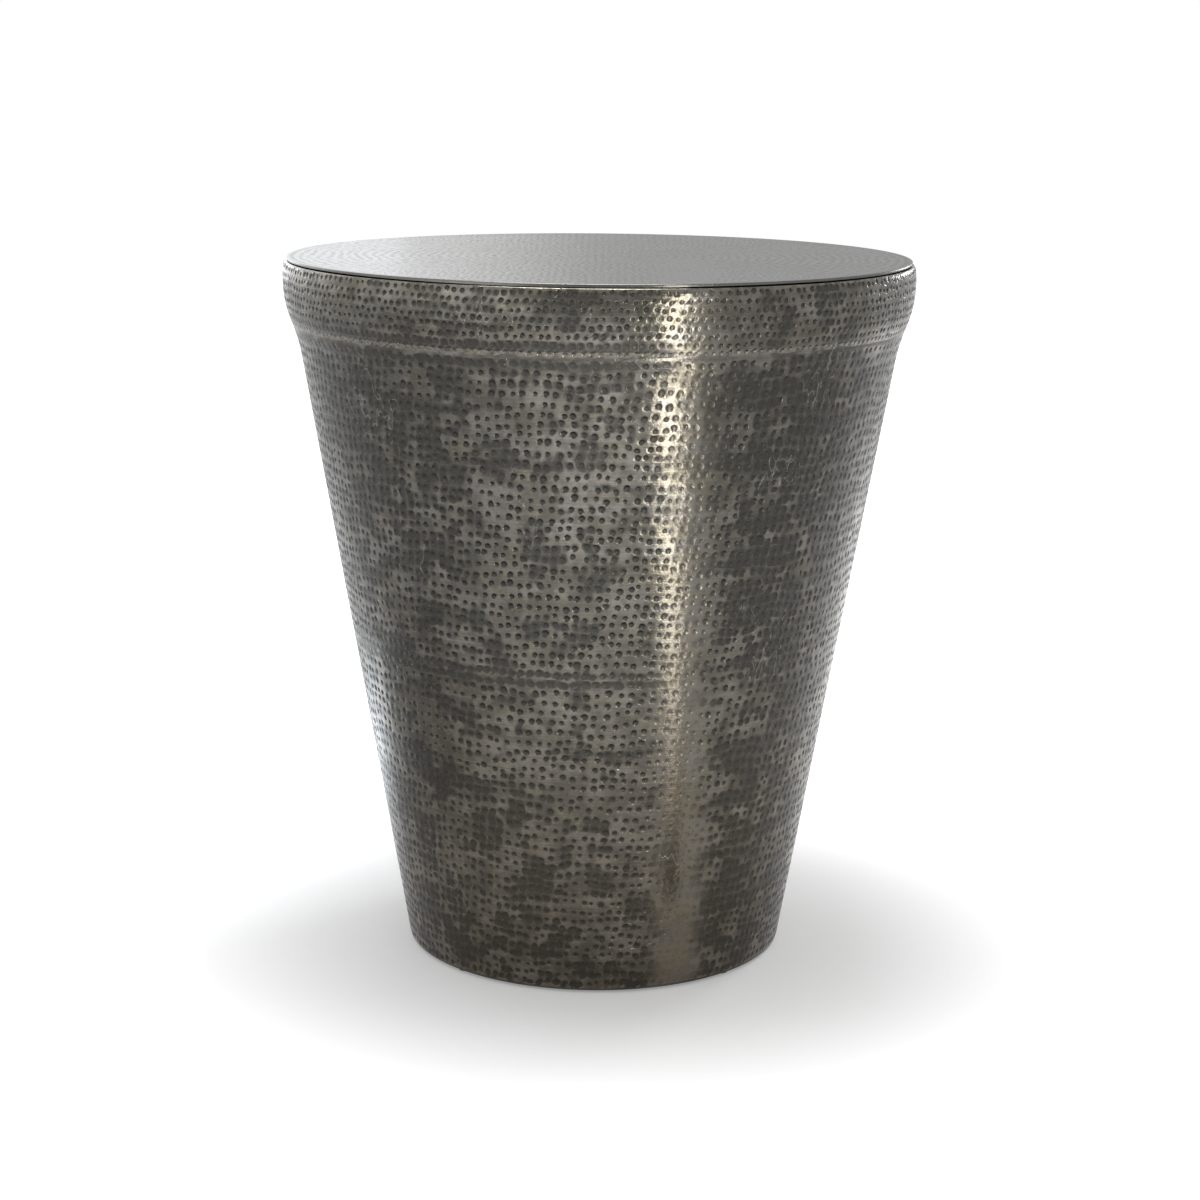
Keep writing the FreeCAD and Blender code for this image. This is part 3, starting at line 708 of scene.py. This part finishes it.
def wood_screw():
    """One screw on its axis: the recess at its lower face, the head, the thread and the tip."""
    length = screws_high[2] - screws_low[2] - head_height
    work = bmesh.new()

    def turned(radius, height):
        """One loop round the axis; the radius may change with the angle."""
        loop = []
        for number in range(screw_turns):
            angle = 2 * math.pi * number / screw_turns
            reach = radius(angle) if callable(radius) else radius
            loop.append(work.verts.new((reach * math.cos(angle), reach * math.sin(angle), height)))
        return loop

    def thread(along):
        """The shank's radius by angle: a rolled ridge that winds round it and fades at both ends."""
        fade = min(1, along / thread_pitch)
        point = min(1, (length - along) / tip_length)

        def reach(angle):
            phase = (along / thread_pitch - angle / (2 * math.pi)) % 1
            ridge = max(0, 1 - abs(phase - 0.5) / 0.3)
            return (thread_root + (shank_radius - thread_root) * ridge * fade) * point
        return reach

    head = [(0.0026, 0), (0.0033, 0.00018), (0.0038, 0.0007), (head_radius, 0.0014),
            (head_radius, 0.00225), (0.00385, head_height), (thread_root, head_height)]
    loops = [turned(radius, height) for radius, height in head]
    rows = round(length / thread_pitch * thread_steps)
    for row in range(1, rows):
        along = length * row / rows
        loops.append(turned(thread(along), head_height + along))
    for lower, upper in zip(loops, loops[1:]):
        for number in range(screw_turns):
            after = (number + 1) % screw_turns
            work.faces.new((lower[number], lower[after], upper[after], upper[number]))
    tip = work.verts.new((0, 0, head_height + length))
    for number in range(screw_turns):
        work.faces.new((loops[-1][number], loops[-1][(number + 1) % screw_turns], tip))
    one_arm = ((recess_half, -recess_half, 0), (recess_arm, -recess_half, 0), (recess_arm, recess_half, 0))
    outline = []
    for quarter in range(4):
        turn = Matrix.Rotation(math.pi / 2 * quarter, 3, "Z")
        outline += [turn @ Vector(corner) for corner in one_arm]
    mouth = [work.verts.new(corner) for corner in outline]
    floor_loop = [work.verts.new((corner.x * recess_taper, corner.y * recess_taper, recess_depth))
                  for corner in outline]
    around = range(len(mouth))
    rims = [work.edges.new((mouth[n], mouth[n - 1])) for n in around]
    rims += [work.edges.get((loops[0][n], loops[0][n - 1])) for n in range(screw_turns)]
    bmesh.ops.triangle_fill(work, use_beauty=True, edges=rims)
    for n in around:
        work.faces.new((mouth[n - 1], mouth[n], floor_loop[n], floor_loop[n - 1]))
    work.faces.new(floor_loop)
    bmesh.ops.recalc_face_normals(work, faces=work.faces)
    for face in work.faces:
        face.smooth = True
    for edge in work.edges:
        edge.smooth = edge.calc_face_angle(0) < sharp_angle
    mesh = bpy.data.meshes.new("wood_screw")
    work.to_mesh(mesh)
    work.free()
    return bpy.data.objects.new("wood_screw", mesh)


def screw_ring_tree():
    """Like screws set upright on a circle, their recesses turned unevenly."""
    uneven_turn = 5.3
    tree, given = new_tree("screw_ring", [
        ("Screw", "Object"), ("Count", "Int"), ("Circle", "Float"), ("Height", "Float"),
        ("First Angle", "Float"), ("Metal", "Material")])
    v = Value(tree)
    angle = v.node("GeometryNodeInputIndex") / given["Count"] * (2 * math.pi) + given["First Angle"]
    place = v.join(angle.cosine() * given["Circle"], angle.sine() * given["Circle"], given["Height"])
    points = v.node("GeometryNodePoints", sockets={"Count": given["Count"], "Position": place})
    screw = v.node("GeometryNodeObjectInfo", sockets={"Object": given["Screw"]}, output="Geometry")
    turn = v.node("FunctionNodeEulerToRotation", sockets={"Euler": v.join(0.0, 0.0, angle * uneven_turn)})
    screws = v.node("GeometryNodeInstanceOnPoints", sockets={"Points": points, "Instance": screw,
                                                             "Rotation": turn})
    screws = v.node("GeometryNodeRealizeInstances", sockets={"Geometry": screws})
    screws = v.node("GeometryNodeSetMaterial", sockets={"Geometry": screws, "Material": given["Metal"]})
    end = tree.nodes.new("NodeGroupOutput")
    tree.links.new(screws.socket, end.inputs[0])
    return tree


screw_shape = wood_screw()
clip_screws = node_mesh("clip_screws_turned", screw_ring_tree(), {
    "Screw": screw_shape, "Count": 4, "Circle": (screws_high[0] - head_radius) * math.sqrt(2),
    "Height": screws_low[2], "First Angle": math.radians(45), "Metal": zinc})
bpy.data.objects.remove(screw_shape)
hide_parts("clip_screws")
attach(clip_screws, "root")

# Top plate
# A disc of the same sheet, struck lightly in rings. Its edge is rounded, and a little uneven below.
# It is bonded to the board under it.
plate_radius = 0.246
plate_top = 0.559
plate_thickness = 0.0015
plate_edge = 0.001
edge_dip = 0.0009
edge_width = 0.0012
edge_step = 0.0001
plate_middle = 0.12
plate_centre = 1e-7


def struck_disc_tree():
    """Rings of hammer marks on a flat disc: a square grid of cells drawn out into rings."""
    tree, given = new_tree("struck_disc", [
        ("Mark", "Object"), ("Rings", "Int"), ("Radius", "Float"), ("Height", "Float"),
        ("Mark Radius", "Float"), ("Mark Depth", "Float"), ("Stray", "Float"), ("Wave", "Float"),
        ("Seed", "Int"), ("Metal", "Material")])
    v = Value(tree)
    rings, radius = given["Rings"], given["Radius"]
    struck, read = struck_cells(v, given, rings * 2, rings * 2)
    corner_x, corner_y, _ = read["corner"].parts()
    spoke_x, spoke_y, _ = read["spoke"].parts()
    stray_x, stray_y, stray_size = read["stray"].parts()
    inside = read["inside"]
    across = (read["column"] + 0.5 + corner_x) / rings - 1
    along = (read["row"] + 0.5 + corner_y) / rings - 1
    wide = across.math("GREATER_THAN", across.size(), along.size())
    tall = 1 - wide
    reach = across * wide + along * tall
    angle = (along / across) * (math.pi / 4) * wide
    angle = angle + (math.pi / 2 - (across / along) * (math.pi / 4)) * tall
    shell = reach.size() * rings
    sway = v.node("ShaderNodeTexNoise", {"noise_dimensions": "1D"},
                  {"W": shell + given["Seed"], "Scale": 0.83, "Detail": 0.0})
    angle = angle + (sway - 0.5) * 0.9 / shell.most(1.0) * (rings - shell).least(1.0)
    around = v.join(angle.cosine() * reach, angle.sine() * reach, shell * 0.02)
    reach = reach * (1 + (around.noise(5.0, 2.0) - 0.5) * 0.08 * ((rings - shell) * 0.2).least(1.0))
    size = given["Mark Radius"] * (1 + stray_size * 0.2)
    off_diagonal = ((read["column"] + 0.5 - rings).size() - (read["row"] + 0.5 - rings).size()).size()
    stray = given["Stray"] * (0.15 + off_diagonal.step(0.5, 3.0) * 0.85)
    stray = stray * (rings - shell).step(0.0, 2.0)
    room = radius / rings * 0.26 - stray * stray_x.size().most(stray_y.size())
    bowl_size = size.least(room).most(size * 0.25)
    place_x = reach * radius * angle.cosine()
    place_x = place_x + inside * (stray * stray_x + spoke_x * bowl_size)
    place_y = reach * radius * angle.sine()
    place_y = place_y + inside * (stray * stray_y + spoke_y * bowl_size)
    bowl = given["Mark Depth"] * (0.3 + read["force"]) * inside * (1 - read["reach"] * read["reach"])
    swell = v.node("ShaderNodeTexNoise", sockets={
        "Vector": v.join(place_x, place_y, 0.0), "Scale": 18.0, "Detail": 1.0})
    edge_fade = ((1 - reach.size()) * 12).least(1.0)
    height = given["Height"] - bowl - given["Wave"] * swell * edge_fade
    aside = (corner_x * radius / rings - stray * stray_x) / size
    upward = (corner_y * radius / rings - stray * stray_y) / size
    fit = inside * bowl_size / size
    land = 1 - inside
    mark = v.join(spoke_x * fit + aside * land, spoke_y * fit + upward * land, read["force"])
    nowhere = inside * 0.0
    finish_tree(v, given, struck, v.join(place_x, place_y, height), mark, nowhere, nowhere)
    return tree


ring_count = 34
top_pewter = aged_pewter(
    "top_pewter", land=(0.152, 0.152, 0.147, 1), warm=(0.152, 0.147, 0.135, 1),
    merged=(0.122, 0.122, 0.118, 1), core=(0.108, 0.108, 0.104, 1), dark=(0.07, 0.07, 0.067, 1),
    depth=0.00016, rasp=1.8, spread=0.25)
top_plate = node_mesh("top_plate_struck", struck_disc_tree(), {
    "Mark": mark_shape, "Rings": ring_count, "Radius": plate_radius - plate_edge, "Height": plate_top,
    "Mark Radius": 0.0022, "Mark Depth": 0.00003, "Stray": 0.0014, "Wave": 0.0004,
    "Seed": 31, "Metal": top_pewter})
plate_under = plate_top - plate_thickness
plate_path = arc((plate_radius - plate_edge, plate_top - plate_edge), plate_edge, 90, 0, 5)
plate_path += [(plate_radius, plate_under, edge_dip), (plate_radius - edge_width, plate_under, edge_dip)]
plate_path += [(plate_radius - edge_width - edge_step, plate_under), (plate_middle, plate_under),
               (plate_centre, plate_under)]
close_sheet(top_plate, plate_path, 16 * ring_count, bare_steel, 6)
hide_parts("top_plate")
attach(top_plate, "root")
bpy.data.objects.remove(mark_shape)

# Floor
# A plain pale studio floor. It takes the table's shadow, and to the camera it fades into a white room.
# In the metal it shows darker beside the drum's left, and with a bright panel far off at the front left.
panel_east = -0.73
panel_north = -0.68
floor_mesh = bpy.data.meshes.new("floor")
floor_mesh.from_pydata([(-6, -6, 0), (6, -6, 0), (6, 6, 0), (-6, 6, 0)], [], [(0, 1, 2, 3)])
floor = bpy.data.objects.new("floor", floor_mesh)
bpy.context.scene.collection.objects.link(floor)
floor_paint, v, shader, spot = new_finish("floor_paint")
east, north, _ = spot.parts()
square = east * east + north * north
away = square.math("SQRT", square)
camera_ray = v.node("ShaderNodeLightPath", output="Is Camera Ray")
seen = camera_ray.most(camera_ray.out("Is Transmission Ray"))
panel = ((east * panel_east + north * panel_north) / away).step(0.9, 0.99)
mirrored = 0.14 - away.step(0.25, 0.5) * 0.1 + away.step(1.2, 3.5) * (0.4 + panel * 1.2)
glow = ((0.25 + away.step(0.2, 0.8) * 0.75) * seen).most(mirrored * camera_ray.out("Is Glossy Ray"))
left_side = (0.0 - east).step(0.1, 0.45) * (1 - away.step(0.65, 0.95))
shade = left_side * (0.33 - north).step(0.0, 0.22) * (north + 0.45).step(0.0, 0.3) * (1 - seen)
v.feed(shader, {"Base Color": shade.blend((0.8, 0.8, 0.8, 1), (0.45, 0.45, 0.45, 1)),
                "Roughness": 0.9, "Specular IOR Level": 0,
                "Emission Color": glow.blend((0, 0, 0, 1), (1, 1, 1, 1)), "Emission Strength": 1})
floor_mesh.materials.append(floor_paint)

# Light
# A white room with soft lamps: one overhead, one over the front, and others at the back and the sides
# that the top and the drum's edges mirror. A narrow strip on the floor at the front right, seen only in
# the metal, makes the bright line down the drum.
world = bpy.data.worlds.new("studio")
bpy.context.scene.world = world
world.use_nodes = True
v = Value(world.node_tree)
camera_ray = v.node("ShaderNodeLightPath", output="Is Camera Ray")
seen = camera_ray.most(camera_ray.out("Is Transmission Ray"))
east, north, _ = v.node("ShaderNodeTexCoord", output="Generated").parts()
window = (0.01 - east).step(0.0, 0.085) * north.step(0.3, 0.7)
panel = (east * panel_east + north * panel_north).step(0.9, 0.99)
front_dim = (0.0 - north).step(0.75, 0.95) * 0.22
back_dim = north.step(0.8, 0.95) * 0.18
left_gain = (0.0 - east).step(0.2, 0.6) * 0.4
room = 0.8 - front_dim + left_gain - back_dim + window * 0.64 + panel * 0.6
level = seen.most(camera_ray.out("Is Glossy Ray") * room).most(0.5)
v.feed(world.node_tree.nodes["Background"], {"Color": (1, 1, 1, 1), "Strength": level})


def soft_light(name, place, target, width, height, power, colour=(1, 1, 1), spread=180):
    """An area lamp at a place, turned to a target."""
    lamp = bpy.data.lights.new(name, "AREA")
    lamp.shape = "RECTANGLE"
    lamp.size = width
    lamp.size_y = height
    lamp.energy = power
    lamp.color = colour
    lamp.spread = math.radians(spread)
    holder = bpy.data.objects.new(name, lamp)
    holder.location = place
    holder.rotation_euler = (Vector(target) - Vector(place)).to_track_quat("-Z", "Y").to_euler()
    holder.visible_camera = False
    bpy.context.scene.collection.objects.link(holder)


soft_light("overhead", (-0.1, 0.05, 2.0), (-0.1, 0, 0), 0.9, 0.9, 26)
soft_light("front", (-0.05, -1.3, 1.1), (-0.05, -1.2, 0), 0.5, 0.5, 3.2, spread=80)
soft_light("back", (-1.0, 2.3, 0.85), (0, 0, 0.5), 1.4, 1.0, 2.2, (0.85, 0.93, 1))
soft_light("left", (-0.55, 0.55, 0.55), (-0.49, 0.36, 0), 0.3, 0.3, 0.8, (0.78, 0.89, 1), 45)
soft_light("far_left", (-0.95, 1.0, 0.7), (-0.85, 0.9, 0), 0.4, 0.5, 1.6, (0.82, 0.91, 1))
soft_light("right", (0.95, 1.0, 0.7), (0.85, 0.9, 0), 0.4, 0.5, 7)

strip_height = 0.004
strip_path = [(0.135, -0.222, strip_height, 0.006), (0.218, -0.325, strip_height, 0.010),
              (0.310, -0.474, strip_height, 0.015), (0.396, -0.676, strip_height, 0.023),
              (0.455, -0.856, strip_height, 0.030), (0.530, -1.12, strip_height, 0.040),
              (0.60, -1.36, strip_height, 0.05), (0.72, -1.35, 0.9, 0.035)]
strip_sides = (-2.6, -1, -0.5, 2)
strip_shares = [0.0, 0.9, 0.75, 0.0]
aside_east = 0.92
aside_north = 0.38
strip_points = []
strip_faces = []
for number, (east, north, height, half) in enumerate(strip_path):
    for side in strip_sides:
        strip_points.append((east + side * half * aside_east, north + side * half * aside_north, height))
    if number:
        for first in range(4 * number, 4 * number + 3):
            strip_faces.append((first - 4, first, first + 1, first - 3))
strip_mesh = bpy.data.meshes.new("strip")
strip_mesh.from_pydata(strip_points, [], strip_faces)
strip_share = strip_mesh.attributes.new("share", "FLOAT", "POINT")
strip_share.data.foreach_set("value", strip_shares * len(strip_path))
strip = bpy.data.objects.new("strip", strip_mesh)
bpy.context.scene.collection.objects.link(strip)
strip_glow, v, shader, spot = new_finish("strip_glow")
_, north, _ = spot.parts()
share = v.node("ShaderNodeAttribute", {"attribute_name": "share"}, output="Fac")
bright = (-0.1 - north).step(0.08, 0.97) * (share * share)
v.feed(shader, {"Base Color": (0, 0, 0, 1), "Emission Strength": 27,
                "Emission Color": bright.blend((0, 0, 0, 1), (1, 0.96, 0.88, 1))})
strip_mesh.materials.append(strip_glow)
strip.visible_camera = False
strip.visible_diffuse = False
strip.visible_shadow = False

# Camera
# A long lens two metres in front of the drum and a little above its top.
# It is tilted down and rolled by half a degree, and the colours are shown plainly.
view_down = math.radians(12.3765)
view_roll = math.radians(0.542)
camera = bpy.data.objects.new("camera", bpy.data.cameras.new("camera"))
bpy.context.scene.collection.objects.link(camera)
camera.data.sensor_width = 36
camera.data.lens = 75.47
camera.location = (0.0028, -2.0010, 0.7194)
tilt = Euler((math.pi / 2 - view_down, 0, 0)).to_matrix()
camera.rotation_euler = (tilt @ Matrix.Rotation(view_roll, 3, "Z")).to_euler()
bpy.context.scene.camera = camera
bpy.context.scene.view_settings.view_transform = "Standard"
